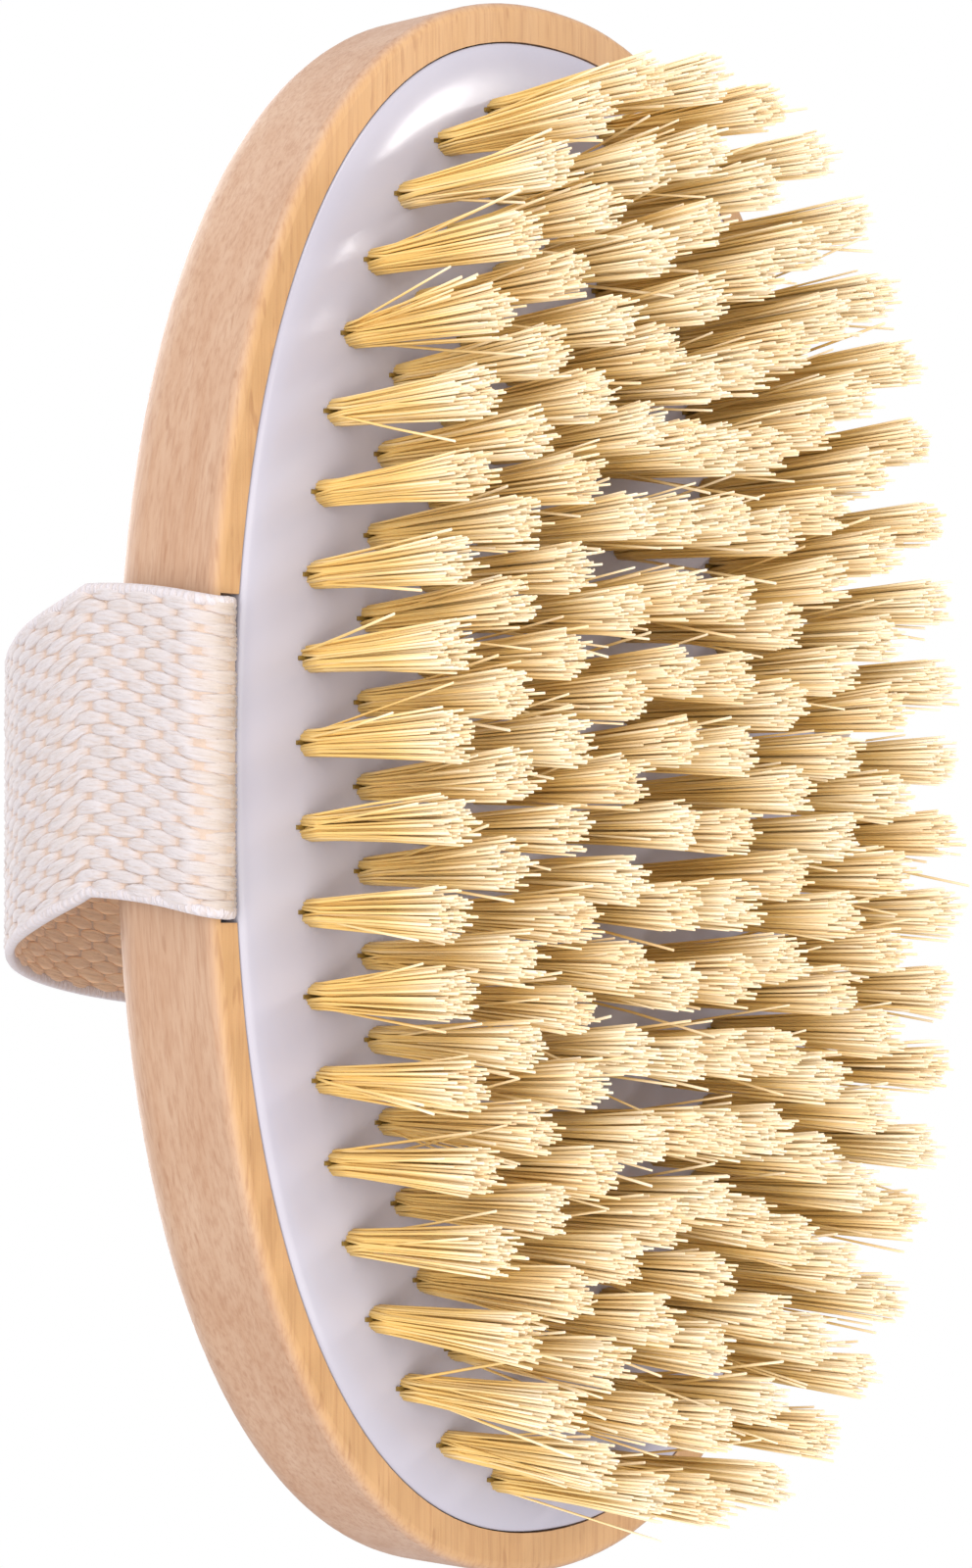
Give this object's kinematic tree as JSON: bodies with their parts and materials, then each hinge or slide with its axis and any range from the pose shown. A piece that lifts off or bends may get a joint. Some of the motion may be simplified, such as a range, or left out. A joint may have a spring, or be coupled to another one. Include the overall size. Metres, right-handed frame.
{
  "type": "body dry brush",
  "caption": "Oval wooden body brush with rings of natural bristle tufts set in a white moulded plate and a webbing hand strap over its back.",
  "frame": {"origin": "middle of the face made by the bristle tips, on which the brush stands", "axes": "+X along the oval, +Y to the brush's right side, +Z from the bristle tips to the hand strap"},
  "size_m": [0.1311, 0.0778, 0.0664],
  "materials": {
    "wood": "bare sanded beech, fine grain along the length",
    "plate": "white moulded plastic, soft gloss",
    "adhesive": "cured adhesive, hidden",
    "webbing": "unbleached cotton webbing, coarse chain weave",
    "staple": "plain steel wire",
    "bristle": "pale natural bristle with blunt cut ends",
    "anchor_wire": "dull flat wire"
  },
  "bodies": {
    "brush": {"wood_body": "wood", "bristle_plate": "plate", "plate_adhesive": "adhesive", "strap_staple_left_1": "staple", "strap_staple_left_2": "staple", "strap_staple_right_1": "staple", "strap_staple_right_2": "staple", "bristle_tufts_ring_1_left": "bristle", "bristle_tufts_ring_1_right": "bristle", "bristle_tufts_ring_2_left": "bristle", "bristle_tufts_ring_2_right": "bristle", "bristle_tufts_ring_3_left": "bristle", "bristle_tufts_ring_3_right": "bristle", "bristle_tufts_ring_4_left": "bristle", "bristle_tufts_ring_4_right": "bristle", "bristle_tufts_ring_5_left": "bristle", "bristle_tufts_ring_5_right": "bristle", "anchor_wires_ring_1_left": "anchor_wire", "anchor_wires_ring_1_right": "anchor_wire", "anchor_wires_ring_2_left": "anchor_wire", "anchor_wires_ring_2_right": "anchor_wire", "anchor_wires_ring_3_left": "anchor_wire", "anchor_wires_ring_3_right": "anchor_wire", "anchor_wires_ring_4_left": "anchor_wire", "anchor_wires_ring_4_right": "anchor_wire", "anchor_wires_ring_5_left": "anchor_wire", "anchor_wires_ring_5_right": "anchor_wire"},
    "strap": {"hand_strap": "webbing"}
  },
  "joints": [
    {"name": "strap_press", "type": "slide", "parent": "brush", "child": "strap", "axis": [0, 0, -1], "range_m": [0, 0.02], "stiffness_N_per_m": 200, "deforming": ["hand_strap"]}
  ]
}
